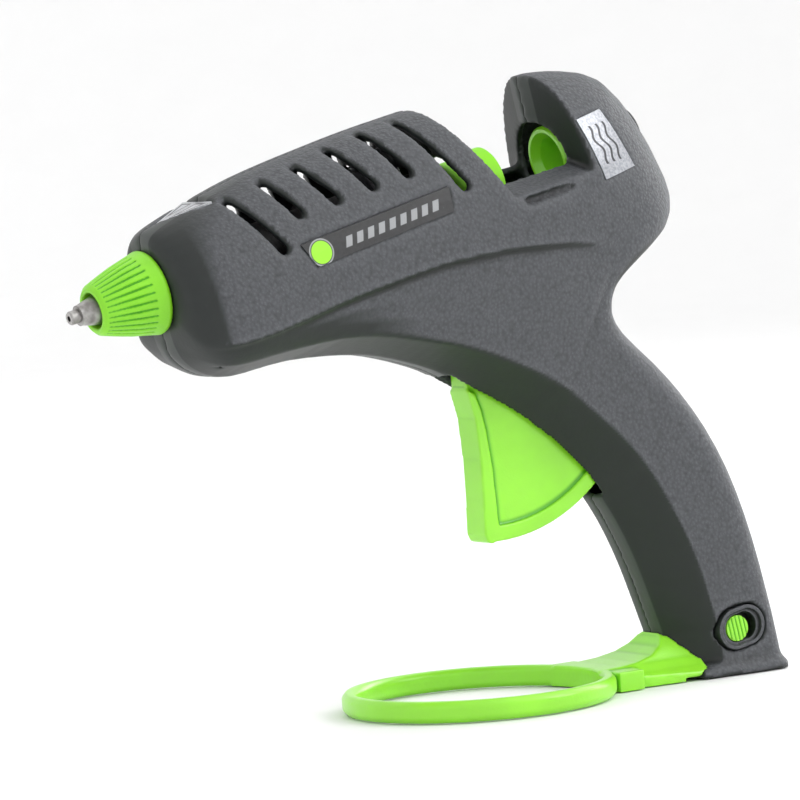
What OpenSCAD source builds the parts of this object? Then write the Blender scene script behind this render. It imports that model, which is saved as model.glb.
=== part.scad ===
// Corded hot-melt glue gun, standing on its handle foot and on a pull-off ring stand.
// Millimetres. +Z up, nozzle towards -X, mid plane of the two casing halves at Y = 0.
// The gun itself is drawn in its own frame (s along the barrel from the nozzle tip, t above
// the barrel axis) and then tilted nose down by barrel_tilt.

/* [Placement] */
// Nose-down tilt of the barrel axis when the gun stands, degrees
barrel_tilt = 11.39; // [10.5:0.1:12.5]
// Distance of the nozzle tip ahead of the origin
tip_ahead = 107.7; // [107:0.1:108.4]
// Height of the nozzle tip above the table
tip_height = 118; // [117:0.5:119]

/* [Casing] */
// Wall thickness of the moulded casing halves
wall = 2.5; // [2:0.1:3]
// Greatest half width of the barrel
barrel_half_w = 23.5; // [22.5:0.1:24.5]
// Half width of the handle
handle_half_w = 17.2; // [16.5:0.1:18]
// Half width of the flat strip along the underside and the front of the handle
strip_half_w = 5; // [4:0.1:6]
// How far the barrel overhangs the lower body along its crease
overhang = 1.6; // [1:0.1:2]
// Roundness exponent of the barrel arch
arch_power = 2.7; // [2.4:0.1:3]

/* [Stick path] */
// Bore that the 11.2 mm glue stick slides through
stick_bore_d = 12.6; // [12.2:0.1:12.8]
// Outer diameter of the green feed ring and of the sleeve collar
feed_ring_d = 19.3; // [18.6:0.1:19.6]

/* [Trigger] */
// Radius of the trigger's lower rim about its pivot
rim_r = 50.8; // [50:0.1:52]
// Angle that the trigger swings through, degrees
trigger_swing = 16; // [14:0.5:17]
// Height of the carriage pin above the trigger pivot
arm_len = 30; // [29:0.5:31]

/* [Stand] */
// Outer radius of the stand ring
ring_r = 38.3; // [36:0.1:40]
// Height of the stand ring
ring_h = 6; // [5:0.1:7]
// Width of the stand ring's band
ring_band = 4; // [3.4:0.1:4.6]

/* [Hidden] */
$fn = 48;
eps = 0.02;

casing_colour = [0.25, 0.26, 0.28];
lime = [0.55, 0.9, 0.15];
steel = [0.72, 0.72, 0.74];
black = [0.08, 0.08, 0.09];

// ---- helpers ----
function mix(a, b, u) = a + (b - a) * u;

// Smooth curve through the keys of a rail; x counts keys from 0
function along(keys, x) =
    let (n = len(keys) - 1, i = min(floor(x), n - 1), u = x - i,
         a = keys[max(i - 1, 0)], b = keys[i], c = keys[i + 1], d = keys[min(i + 2, n)])
    0.5 * (2 * b + (c - a) * u + (2 * a - 5 * b + 4 * c - d) * u * u
           + (3 * b - a - 3 * c + d) * u * u * u);

// Places what is drawn in the gun frame (s, y, t) on the table
module gun_frame() translate([-tip_ahead, 0, tip_height]) rotate([0, -barrel_tilt, 0]) children();

// A profile drawn in (s, t), given a width across the gun centred on y_mid
module across(width, y_mid = 0)
    translate([0, y_mid + width / 2, 0]) rotate([90, 0, 0]) linear_extrude(width) children();

// Table point (x, z) written in the gun frame (s, t)
function gun_of(x, z) =
    let (dx = x + tip_ahead, dz = z - tip_height, c = cos(barrel_tilt), q = sin(barrel_tilt))
    [dx * c + dz * q, -dx * q + dz * c];

// ---- casing form: four rails in (s, t), one key per station ----
// front_rail runs under the barrel and down the handle's front, top_rail over the barrel,
// round the hood and down the back; low_crease and high_crease run along the side
front_rail = [[25.6, -16.8], [26.8, -19.6], [29.5, -22.8], [34, -26], [40, -28], [48, -28.4],
    [58, -29], [70, -31.3], [81, -34.3], [89.5, -38], [96.5, -41.8], [102, -45.3], [106.5, -49],
    [110, -52.2], [112.8, -54.7], [115.3, -56.9], [117.5, -58.9], [119.3, -60.6], [121, -62.3],
    [122.5, -63.8], [124, -65.4], [125.4, -67], [126.8, -68.7], [128.5, -70.8], [131, -73.7],
    [134.5, -78.3], [138.8, -85], [143.2, -93.5], [146.8, -103], [149.3, -113], [151, -123],
    [153, -137.8]];
low_crease = [[25.6, -13.5], [26.8, -17], [29.5, -20.4], [34, -23], [40, -23.8], [48, -24],
    [58, -24.6], [70, -25.8], [81.2, -28.6], [90, -32], [97.6, -35.3], [103.8, -38], [109.3, -41],
    [113.9, -43.8], [117.5, -46.2], [120.8, -48.5], [123.9, -50.7], [126.9, -53], [129.7, -55.2],
    [132.2, -57.3], [134, -59.1], [135.2, -60.3], [136.4, -61.5], [138.3, -63.6], [141.4, -67.5],
    [145.8, -73.2], [151.1, -80.8], [155.8, -90.3], [159.5, -101.2], [162.5, -112.8],
    [164.3, -124.7], [165, -139.4]];
high_crease = [[25.6, -9.5], [26.8, -14], [29.5, -17], [34, -18.2], [40, -18.5], [48, -18.3],
    [58, -17.5], [70, -16.3], [82, -15.8], [92.5, -15.5], [102, -15.4], [109.5, -15.9],
    [118, -16.7], [126, -17.7], [133, -18.9], [140, -20.3], [146, -21.8], [151.3, -23.4],
    [155.3, -25.4], [157.6, -28.2], [156.6, -31.8], [153.4, -35.8], [150.8, -40.8],
    [150.6, -47.2], [154.3, -55.2], [160.8, -65], [166.5, -74.8], [172, -85.6], [175.7, -98.6],
    [177.6, -112.3], [178.9, -126.4], [180.2, -141.6]];
top_rail = [[25.6, 14.4], [26.8, 15.8], [29.5, 16.9], [34, 18], [40, 19.4], [48, 21],
    [58, 22.7], [70, 23.9], [83, 24.8], [95, 25.5], [108, 25.8], [120, 25.9], [133, 25.8],
    [146, 25.5], [157, 25.4], [167.5, 23], [177.3, 18.1], [184.8, 5.3], [188.8, -7.4],
    [190.6, -17.8], [187, -25.6], [175.5, -30.6], [164.6, -34.6], [159.2, -42.2], [160.9, -49.8],
    [169, -61.2], [175.2, -71.3], [180.6, -83.4], [184.9, -97.2], [187.4, -112.1],
    [188.3, -127.6], [188, -142.5]];
// Half widths at the two creases and depth of the overhang, as fractions of their full values
low_w = [0.24, 0.48, 0.72, 0.91, 0.98, 1, 1, 1, 1, 1, 1, 1, 1, 1, 1, 1, 1, 0.99, 0.98, 0.97,
    0.96, 0.95, 0.94, 0.93, 0.92, 0.92, 0.92, 0.91, 0.91, 0.9, 0.9, 0.9];
high_w = [0.52, 0.68, 0.82, 0.93, 0.985, 1, 1, 1, 1, 1, 1, 1, 1, 1, 0.995, 0.98, 0.955, 0.92,
    0.88, 0.85, 0.82, 0.79, 0.77, 0.76, 0.75, 0.745, 0.74, 0.735, 0.732, 0.732, 0.732, 0.732];
lip = [0, 0.2, 0.6, 0.9, 1, 1, 1, 1, 1, 1, 1, 1, 1, 1, 0.95, 0.8, 0.6, 0.35, 0.15, 0.05, 0,
    0, 0, 0, 0, 0, 0, 0, 0, 0, 0, 0];
low_full_w = 17.8;
last_key = len(front_rail) - 1;

function toward(a, b, d) = a + (b - a) * d / norm(b - a);
function at(p, y) = [p[0], -y, p[1]];

// One half section of the casing form at rail key x, grown outwards by g
function half_section(x, g, arch_steps) =
    let (f = toward(along(front_rail, x), along(top_rail, x), -g),
         t = toward(along(top_rail, x), along(front_rail, x), -g),
         c = along(low_crease, x), h = along(high_crease, x),
         wl = low_full_w * along(low_w, x) + g,
         wh = barrel_half_w * along(high_w, x) + g,
         under = wh - overhang * max(0, along(lip, x)),
         strip = strip_half_w * min(1, along(low_w, x)) + 0.4 * g)
    concat([at(f, 0), at(mix(f, c, 0.03), strip), at(c, wl),
            at(mix(c, h, 0.35), mix(wl, under, 0.45)), at(mix(c, h, 0.7), mix(wl, under, 0.8)),
            at(h, under), at(toward(h, t, 0.7), wh)],
           [for (k = [1:arch_steps]) let (a = 90 * k / arch_steps)
               at(mix(h, t, pow(sin(a), 2 / arch_power)), k == arch_steps ? 0 : wh * cos(a))]);

// Foot: sections on planes parallel to the table, flaring into the base flange
foot_front_x = 70.4;
// [height, back setback, side growth, crease ahead] of each foot section
foot_steps = [[7, 2.1, 0, 0], [4.2, 1.8, 0.3, -0.4], [2.9, 1.1, 0.9, 3.2], [2.2, 0.4, 1.5, 6.4],
    [1.7, 0, 1.7, 7.4], [0, 0, 1.7, 7.4]];
foot_crease_x = 82.6;
foot_high_x = 99.2;

function foot_section(step, g, arch_steps) =
    let (z = step[0], f = gun_of(foot_front_x - g, z), t = gun_of(tip_ahead - step[1] + g, z),
         c = gun_of(foot_crease_x - step[3], z), h = gun_of(foot_high_x + step[2], z),
         wl = 16 + step[2] + g, wh = handle_half_w + step[2] + g)
    concat([at(f, 0), at(mix(f, c, 0.03), strip_half_w + 0.4 * g), at(c, wl),
            at(mix(c, h, 0.35), mix(wl, wh, 0.45)), at(mix(c, h, 0.7), mix(wl, wh, 0.8)),
            at(h, wh), at(toward(h, t, 0.7), wh)],
           [for (k = [1:arch_steps]) let (a = 90 * k / arch_steps)
               at(mix(h, t, pow(sin(a), 2 / arch_power)), k == arch_steps ? 0 : wh * cos(a))]);

// Hollow half casing as one closed solid: outer sections, inner sections from station `first`
// to station `last`, and the flat rim between them on the mid plane
module half_casing(outer, inner, first, last) {
    n = len(outer);
    m = len(outer[0]);
    q = len(inner[0]);
    base = n * m;
    function in(i, j) = base + (i - first) * q + j;
    polyhedron(
        concat([for (row = outer) each row], [for (i = [first:last]) each inner[i]]),
        concat(
            [for (i = [0:n - 2], j = [0:m - 2]) [i * m + j, i * m + j + 1, (i + 1) * m + j + 1]],
            [for (i = [0:n - 2], j = [0:m - 2]) [i * m + j, (i + 1) * m + j + 1, (i + 1) * m + j]],
            [for (i = [first:last - 1], j = [0:q - 2]) [in(i, j), in(i + 1, j + 1), in(i, j + 1)]],
            [for (i = [first:last - 1], j = [0:q - 2]) [in(i, j), in(i + 1, j), in(i + 1, j + 1)]],
            [for (i = [0:n - 2]) if (i < first - 1 || i > last)
                [i * m, (i + 1) * m, (i + 1) * m + m - 1, i * m + m - 1]],
            [[(first - 1) * m, first * m, in(first, 0), in(first, q - 1), first * m + m - 1,
              (first - 1) * m + m - 1]],
            [[(last + 1) * m + m - 1, last * m + m - 1, in(last, q - 1), in(last, 0), last * m,
              (last + 1) * m]],
            [for (i = [first:last - 1]) [i * m, (i + 1) * m, in(i + 1, 0), in(i, 0)]],
            [for (i = [first:last - 1])
                [in(i, q - 1), in(i + 1, q - 1), (i + 1) * m + m - 1, i * m + m - 1]],
            [[for (j = [m - 1:-1:0]) j], [for (j = [0:m - 1]) (n - 1) * m + j],
             [for (j = [0:q - 1]) in(first, j)], [for (j = [q - 1:-1:0]) in(last, j)]]),
        convexity = 10);
}

// Closed solid through plain sections of one half, its flat side on the mid plane
module half_loft(rows) {
    n = len(rows);
    m = len(rows[0]);
    polyhedron(
        [for (row = rows) each row],
        concat(
            [for (i = [0:n - 2], j = [0:m - 2]) [i * m + j, i * m + j + 1, (i + 1) * m + j + 1]],
            [for (i = [0:n - 2], j = [0:m - 2]) [i * m + j, (i + 1) * m + j + 1, (i + 1) * m + j]],
            [for (i = [0:n - 2]) [i * m, (i + 1) * m, (i + 1) * m + m - 1, i * m + m - 1]],
            [[for (j = [m - 1:-1:0]) j], [for (j = [0:m - 1]) (n - 1) * m + j]]),
        convexity = 6);
}

rail_step = 0.5;
station_count = last_key / rail_step + 1;
function sections(g, arch_steps) =
    concat([for (k = [0:station_count - 1]) half_section(k * rail_step, g, arch_steps)],
           [for (q = foot_steps) foot_section(q, g, arch_steps)]);

// Rail position whose section line passes through side point p, by bisection
function off_line(x, p) =
    let (h = along(high_crease, x), t = along(top_rail, x)) cross(t - h, p - h);
function station_at(p, lo, hi, tries = 14) =
    tries == 0 ? (lo + hi) / 2
    : let (mid = (lo + hi) / 2) off_line(mid, p) > 0 ? station_at(p, lo, mid, tries - 1)
                                                      : station_at(p, mid, hi, tries - 1);
// Half width of the casing's arch at side point p
function skin(p) =
    let (x = station_at(p, 4, 18), h = along(high_crease, x), t = along(top_rail, x),
         f = norm(p - h) / norm(t - h))
    barrel_half_w * along(high_w, x) * sqrt(max(0, 1 - pow(f, arch_power)));

// Thin plate that follows the casing's side. Corners run front low, rear low, rear high,
// front high; it stands `proud` above the skin and reaches `deep` below it
module side_inlay(corners, proud, deep, nu, nv) {
    function spot(i, j) = mix(mix(corners[0], corners[1], i / nu),
                              mix(corners[3], corners[2], i / nu), j / nv);
    m = nv + 1;
    top = (nu + 1) * m;
    rim = concat([for (i = [0:nu]) i * m], [for (j = [1:nv]) nu * m + j],
                 [for (i = [nu - 1:-1:0]) i * m + nv], [for (j = [nv - 1:-1:1]) j]);
    polyhedron(
        concat([for (i = [0:nu], j = [0:nv]) let (p = spot(i, j)) [p[0], -skin(p) + deep, p[1]]],
               [for (i = [0:nu], j = [0:nv]) let (p = spot(i, j)) [p[0], -skin(p) - proud, p[1]]]),
        concat(
            [for (i = [0:nu - 1], j = [0:nv - 1])
                each [[i * m + j, (i + 1) * m + j + 1, i * m + j + 1],
                      [i * m + j, (i + 1) * m + j, (i + 1) * m + j + 1]]],
            [for (i = [0:nu - 1], j = [0:nv - 1])
                each [[top + i * m + j, top + i * m + j + 1, top + (i + 1) * m + j + 1],
                      [top + i * m + j, top + (i + 1) * m + j + 1, top + (i + 1) * m + j]]],
            [for (k = [0:len(rim) - 1]) let (a = rim[k], b = rim[(k + 1) % len(rim)])
                each [[a, top + b, b], [a, top + a, top + b]]]));
}
badge_corners = [[64.3, -4.4], [109.4, -1.7], [110.3, 5.1], [61.3, 2.6]];
badge_pocket = [[64, -4.7], [109.7, -2], [110.6, 5.4], [60.9, 2.9]];
label_corners = [[160.6, -7], [172.6, -6.3], [167.2, 11.6], [157.6, 11]];
label_pocket = [[160.3, -7.3], [173, -6.6], [167.4, 11.9], [157.3, 11.3]];

// ---- stations and heights inside the casing (gun frame) ----
pivot = [118.5, -46.5];
arm_rest = trigger_swing / 2;
carriage_pin = [pivot[0] + arm_len * tan(arm_rest), pivot[1] + arm_len];
pin_r = 2;
running_gap = 0.05;
feed_ring_s = 156.6;
jaw_axis = [151, -15.5];
rail_low = -22;
rail_high = -12.6;
inlet_s = 175;
inlet_bush_r = 8.5;
screw_spots = [[38, -20.6, 13.8], [95, -31.2, 16.2], [147.3, -46, 16], [176, -97, 15.7],
               [165.4, -124.5, 13.4], [174, 12, 8], [104.5, 15.4, 14.4]];
boss_r = 3.2;
screw_r = 1.4;
switch_at = [172.5, -141.7];
switch_skin = 16.85;

// ---- cuts shared by both casing halves (drawn for the left one) ----
vent_high = [[46.9, 21.2], [59.2, 21.9], [70.7, 22.4], [82.7, 23.6], [94.9, 24.2], [106.4, 24.5]];
vent_low = [[56.6, 1.2], [65.1, 8.6], [77, 9.1], [89, 9.6], [100.6, 10], [115.6, 2.2]];
vent_inner_y = [8, 8, 7.5, 6, 4.3, 3];
vent_half_w = 1.5;
module vent_slot(k) {
    low = vent_low[k];
    reach = norm(vent_high[k] - low) + 10;
    up = toward(low, vent_high[k], reach);
    side = [up[1] - low[1], low[0] - up[0]] / reach;
    across(30, -vent_inner_y[k] - 15) {
        translate(low + [0, vent_half_w]) circle(vent_half_w);
        polygon([low + [0, vent_half_w] - side * vent_half_w,
                 low + [0, vent_half_w] + side * vent_half_w, up + side * 0.4, up - side * 0.4]);
    }
}

// Open saddle between the front body's slanted end and the hood
hood_face_s = 152.5;
hood_lean = 0.22;
ledge_half_w = 13;
ledge_fall = 0.4;
module saddle_cut() intersection() {
    across(80) polygon([[115.4, 27], [130.2, -4], [131, -14], [178, -14], [178, 30], [115, 40]]);
    translate([0, 0, -20]) linear_extrude(70)
        polygon([[90, -40], [hood_face_s + 40 * hood_lean, -40], [hood_face_s, 0],
                 [hood_face_s + 40 * hood_lean, 40], [90, 40]]);
    translate([200, 0, 0]) rotate([90, 0, -90]) linear_extrude(100)
        polygon([[-40, -27 * ledge_fall], [-ledge_half_w, 0], [ledge_half_w, 0],
                 [40, -27 * ledge_fall], [40, 60], [-40, 60]]);
}
// Walls round the saddle: slanted end wall, hood face and the two ledges, kept inside the skin
arch_low = -16;
arch_high = 25.2;
web_t = 2.2;
function arch_half(t, g) =
    (barrel_half_w - g) * sqrt(max(0, 1 - pow(max(0, (t - arch_low) / (arch_high - arch_low - g)),
                                              arch_power)));
module saddle_walls() intersection() {
    translate([100, 0, 0]) rotate([90, 0, 90]) linear_extrude(62)
        polygon(concat([[0, -7.5]], [for (t = [-7.5:2.5:22.5]) [-arch_half(t, 1.3), t]],
                       [[-arch_half(23.7, 1.3), 23.7], [0, 23.9]]));
    union() {
        across(60) polygon([[115.4 - web_t, 27], [130.2 - web_t, -4], [130.2 - web_t, -7],
                            [130.2, -7], [130.2, -4], [115.4, 27]]);
        translate([0, 0, -5]) linear_extrude(32)
            polygon([[hood_face_s, 0], [hood_face_s + 30 * hood_lean, -30],
                     [hood_face_s + 30 * hood_lean + web_t, -30], [hood_face_s + web_t, 0]]);
        translate([162, 0, 0]) rotate([90, 0, -90]) linear_extrude(34)
            polygon([[ledge_half_w, 0], [30, -17 * ledge_fall], [30, -17 * ledge_fall - web_t],
                     [ledge_half_w, -web_t]]);
    }
}

module along_barrel(s, length, r) translate([s, 0, 0]) rotate([0, 90, 0]) cylinder(h = length, r = r);

// Everything that both halves share; drawn for the left half
module shell_half(screw_side) difference() {
    union() {
        half_casing(sections(0, 10), sections(-wall, 4), 5, station_count);
        saddle_walls();
        for (b = screw_spots)
            translate([b[0], 0, b[1]]) rotate([90, 0, 0]) cylinder(h = b[2], r = boss_r);
        // Seat for the trigger pin
        translate([pivot[0], -5.3, pivot[1]]) rotate([90, 0, 0]) cylinder(h = 6.2, r = 3.9);
        // Shelf and guide that the carriage slides between
        translate([104, -20.4, rail_low - 2.5]) cube([48, 14, 2.2]);
        translate([140, -21.2, rail_high + 0.3]) cube([12, 14, 1.6]);
        // Ribs that hold the two chamber brackets
        for (s = [33.2, 37.3]) translate([s, -17.6, -9]) cube([1.3, 8.4, 11]);
        for (s = [92.5, 96.7]) translate([s, -20.6, -9]) cube([1.3, 8.4, 12]);
    }
    saddle_cut();
    for (k = [0:5]) vent_slot(k);
    // Dark groove under the ledge
    across(3.2, -22.7) polygon([[131.6, -4.5], [149.6, -4.4], [149.2, -6.9], [133.4, -6.9]]);
    along_barrel(20, 16, 7.6);
    along_barrel(110, 24, 10.4);
    along_barrel(hood_face_s - 3, 14, 11.8);
    along_barrel(inlet_s - 1, 20, inlet_bush_r + 0.02);
    // Trigger slot down the front of the handle
    across(10.8) polygon([[104, -60], [106, -43.5], [112.6, -40], [124, -36.6], [131, -36.6],
                          [140, -60], [148.6, -92.6], [141, -96.5], [120, -75]]);
    translate([pivot[0], eps, pivot[1]]) rotate([90, 0, 0]) cylinder(h = 13, r = 2.52);
    for (b = screw_spots)
        translate([b[0], eps, b[1]]) rotate([90, 0, 0])
            cylinder(h = screw_side ? 40 : b[2] - 2.5, r = screw_side ? screw_r + 0.15 : screw_r);
    if (screw_side)
        for (b = screw_spots)
            translate([b[0], -b[2] + 1.2, b[1]]) rotate([90, 0, 0]) cylinder(h = 14, r = 2.8);
    side_inlay(badge_pocket, 2, 0.8, 8, 2);
    side_inlay(label_pocket, 2, 0.8, 3, 4);
    nose_pocket();
    // Cord inlet at the back of the handle
    on_table() translate([92, 0, cord_z]) rotate([0, 90, 0]) cylinder(h = 30, r = cord_bush_r + 0.03);
}

// Undoes the gun frame, for features that are square to the table
module on_table() rotate([0, barrel_tilt, 0]) translate([tip_ahead, 0, -tip_height]) children();
cord_z = 16;
cord_bush_r = 5;

module nose_plane() translate([31.8, 0, 16.2]) rotate([0, -9.5, 0]) children();
module nose_pocket() nose_plane() linear_extrude(8)
    polygon([[-0.9, 1], [14.6, 1], [14.6, -8.9], [-0.9, 0]]);

module left_shell() color(casing_colour) gun_frame() difference() {
    shell_half(false);
    // Opening for the switch
    translate([switch_at[0], -8, switch_at[1]]) rotate([90, 0, 0]) stadium_plate(14, 8.2, 6.1);
}
module right_shell() color(casing_colour) gun_frame() mirror([0, 1, 0]) union() {
    shell_half(true);
    // Posts for the cord clamp
    on_table() for (z = [cord_z - 6.6, cord_z + 6.6])
        translate([88, -4.2, z]) rotate([90, 0, 0]) difference() {
            cylinder(h = 11.6, r = 2.2);
            translate([0, 0, -1]) cylinder(h = 8, r = 0.9);
        }
}

// Oval plate of half length a and half height b, its axis along local Z
module stadium_plate(h, a, b) linear_extrude(h) {
    for (d = [-1, 1]) translate([d * (a - b), 0]) circle(b);
    square([2 * (a - b), 2 * b], center = true);
}

module housing_screws() color(steel) gun_frame() for (b = screw_spots)
    translate([b[0], b[2] - 1.18, b[1]]) rotate([90, 0, 0]) difference() {
        union() {
            translate([0, 0, -1.8]) cylinder(h = 1.8, r = 2.6);
            cylinder(h = b[2] + 4, r = screw_r - 0.05);
        }
        for (a = [0, 90]) translate([0, 0, -1.4]) rotate([0, 0, a]) cube([3, 0.7, 1], center = true);
    }

// ---- heater and glue path ----
module turned(profile) rotate([0, 90, 0]) rotate_extrude($fn = 64) polygon(profile);

chamber_r = 9;
module melt_chamber() color([0.7, 0.71, 0.72]) gun_frame() difference() {
    union() {
        along_barrel(19, 22, 6.5);
        along_barrel(40, 60, chamber_r);
        along_barrel(100, 12, 7);
        translate([46, -8.6, -18.6]) cube([42, 17.2, 12.6]);
        for (s = [56, 66, 76]) along_barrel(s, 2, 10.2);
    }
    along_barrel(18, 18, 4.05);
    along_barrel(35, 12, 1.6);
    translate([44, 0, 0]) rotate([0, 90, 0]) cylinder(h = 18, r1 = 1.6, r2 = 6.15, $fn = 64);
    along_barrel(61.9, 52, 6.15);
    translate([50, -7.1, -17.3]) cube([40, 14.2, 5.8]);
}
module nozzle() color(steel) gun_frame() difference() {
    union() {
        turned([[0, 0], [1.6, 0], [1.9, 0.4], [1.9, 2.6], [2.8, 2.8], [2.85, 3.4], [4.5, 9.6],
                [4.8, 12], [0, 12]]);
        translate([12, 0, 0]) rotate([0, 90, 0]) cylinder(h = 6, r = 5.7, $fn = 6);
        along_barrel(17.9, 14.1, 4);
    }
    along_barrel(-1, 8, 0.8);
    along_barrel(6, 15, 1.6);
    along_barrel(20, 13, 2.6);
}
ball_r = 2.2;
ball_s = 34.4;
module check_ball() color(steel) gun_frame() translate([ball_s, 0, 0]) sphere(ball_r);

// Round wire along a computed path, as a tube of `sides` sides
function unit(v) = v / norm(v);
module swept_wire(path, r, sides) {
    n = len(path);
    dirs = [for (i = [0:n - 1]) unit(path[min(i + 1, n - 1)] - path[max(i - 1, 0)])];
    rings = [for (i = [0:n - 1])
        let (u = unit(cross(dirs[i], [0.12, 1, 0.07])), v = cross(dirs[i], u))
        for (k = [0:sides - 1]) path[i] + r * (cos(360 * k / sides) * u + sin(360 * k / sides) * v)];
    polyhedron(rings, concat(
        [for (i = [0:n - 2], k = [0:sides - 1]) let (a = i * sides + k, b = i * sides + (k + 1) % sides)
            each [[a, b + sides, b], [a, a + sides, b + sides]]],
        [[for (k = [0:sides - 1]) k], [for (k = [sides - 1:-1:0]) (n - 1) * sides + k]]));
}
// Helix along s from s0 to s1
function helix(s0, s1, r, turns, steps) =
    [for (i = [0:turns * steps]) let (a = 360 * i / steps)
        [mix(s0, s1, i / (turns * steps)), r * cos(a), r * sin(a)]];
module check_spring() color(steel) gun_frame()
    swept_wire(helix(20.3, ball_s - ball_r - 0.3, 2.1, 8, 10), 0.22, 5);

module heater_wrap() color([0.8, 0.5, 0.1]) gun_frame() difference() {
    translate([50.5, -7, -17.2]) cube([38, 14, 5.6]);
    translate([50, -6.5, -16.7]) cube([40, 13, 4.6]);
}
module electrodes() color([0.75, 0.75, 0.72]) gun_frame() for (e = [[-16.7, 1], [-12.9, 7]])
    translate([51, -6, e[0]]) union() {
        cube([36, 12, 0.8]);
        translate([35, e[1], 0]) cube([4.6, 4, 0.8]);
    }
module ptc_heater() color([0.3, 0.25, 0.25]) gun_frame() for (s = [52, 69.5])
    translate([s, -5.5, -15.9]) cube([16.5, 11, 3]);
fuse_at = [84, 11, -13];
module thermal_fuse() color([0.85, 0.85, 0.8]) gun_frame() translate(fuse_at) rotate([0, 90, 0])
    cylinder(h = 14, r = 2.1);
module octagon_bracket(s, length, hole, r) difference() {
    translate([s, 0, 0]) rotate([0, 90, 0]) rotate([0, 0, 22.5]) cylinder(h = length, r = r, $fn = 8);
    along_barrel(s - 1, length + 2, hole);
}
module front_bracket() color([0.2, 0.2, 0.2]) gun_frame() octagon_bracket(34.6, 2.6, 6.55, 11.6);
module rear_bracket() color([0.2, 0.2, 0.2]) gun_frame() octagon_bracket(94, 2.5, 9.05, 15);

collar_s = 131.5;
module stick_sleeve() color(lime) gun_frame() turned([[7.05, 101], [8.5, 101], [8.5, collar_s - 3],
    [feed_ring_d / 2, collar_s], [feed_ring_d / 2, collar_s + 4], [feed_ring_d / 2 - 0.6, collar_s + 4.6],
    [7.4, collar_s + 4.6], [stick_bore_d / 2, collar_s + 2], [stick_bore_d / 2, 112.3], [7.05, 112.3]]);
module sleeve_clamp() color(steel) gun_frame() difference() {
    union() {
        along_barrel(103.5, 5, 9.3);
        translate([103.5, -1.6, 8.8]) cube([5, 3.2, 3]);
    }
    along_barrel(103, 6, 8.55);
}
module inlet_bush() color(black) gun_frame() turned([[inlet_bush_r, inlet_s],
    [inlet_bush_r, inlet_s + 8.4], [inlet_bush_r - 0.5, inlet_s + 8.9], [stick_bore_d / 2 + 0.6, inlet_s + 8.9],
    [stick_bore_d / 2, inlet_s + 8.2], [stick_bore_d / 2, inlet_s]]);

// Grooved silicone cover of the nozzle
rib_count = 30;
module nozzle_cover() color(lime) gun_frame() difference() {
    turned([[5.3, 7], [6, 7], [7.1, 8], [8.1, 11], [8.9, 13.5], [9.8, 16.5], [10.5, 19.5],
            [11.2, 22.5], [11.7, 24.4], [11.3, 25.4], [6.6, 25.4], [6.6, 18.6], [5.9, 18.2],
            [5.9, 11.9], [4.9, 11.9], [4.9, 7.4]]);
    for (k = [0:rib_count - 1]) rotate([360 * k / rib_count, 0, 0])
        multmatrix([[1, 0, 0, 0], [0, 1, 0, 0], [0.27, 0, 1, 4.7], [0, 0, 0, 1]])
            translate([8, -0.35, 0]) cube([13.4, 0.7, 3]);
}

// ---- feed ----
module feed_carriage() color(lime) gun_frame() difference() {
    union() {
        turned([[feed_ring_d / 2 - 0.7, feed_ring_s], [feed_ring_d / 2, feed_ring_s + 0.8],
                [feed_ring_d / 2, feed_ring_s + 11.4], [0, feed_ring_s + 11.4], [0, feed_ring_s]]);
        translate([feed_ring_s + 1.4, -6, rail_high - 0.1]) cube([9, 12, 6]);
        translate([feed_ring_s + 1.4, -9, rail_low]) cube([10, 18, rail_high - rail_low]);
        for (y = [-9, 6]) translate([110, y, rail_low]) cube([50, 3, rail_high - rail_low]);
        translate([carriage_pin[0], 6.2, carriage_pin[1]]) rotate([90, 0, 0]) cylinder(h = 12.4, r = pin_r);
    }
    along_barrel(feed_ring_s - 1, 14, stick_bore_d / 2);
    turned([[0, feed_ring_s - 0.1], [8.1, feed_ring_s - 0.1], [stick_bore_d / 2 - 0.1, feed_ring_s + 2.4],
            [0, feed_ring_s + 2.4]]);
    translate([jaw_axis[0], 10, jaw_axis[1]]) rotate([90, 0, 0]) cylinder(h = 20, r = 1.5);
    // Pocket that the return spring sits in
    translate([feed_ring_s + 8.4, 0, spring_t]) rotate([0, 90, 0]) cylinder(h = 6, r = 2.6);
}
module grip_jaw() color(steel) gun_frame() difference() {
    union() {
        across(6) polygon([[148.6, -17.5], [152.6, -18.2], [153.4, -14], [151.6, -10.6], [149.2, -6.6],
                           [148.4, -7.6], [147.6, -6.6], [146.9, -7.6], [146.1, -6.6], [145.3, -7.6],
                           [147, -12]]);
        translate([jaw_axis[0], 4.5, jaw_axis[1]]) rotate([90, 0, 0]) cylinder(h = 9, r = 2.6);
    }
    translate([jaw_axis[0], 10, jaw_axis[1]]) rotate([90, 0, 0]) cylinder(h = 20, r = 1.5 + running_gap);
}
module jaw_pin() color(steel) gun_frame()
    translate([jaw_axis[0], 8.9, jaw_axis[1]]) rotate([90, 0, 0]) cylinder(h = 17.8, r = 1.5);

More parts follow.
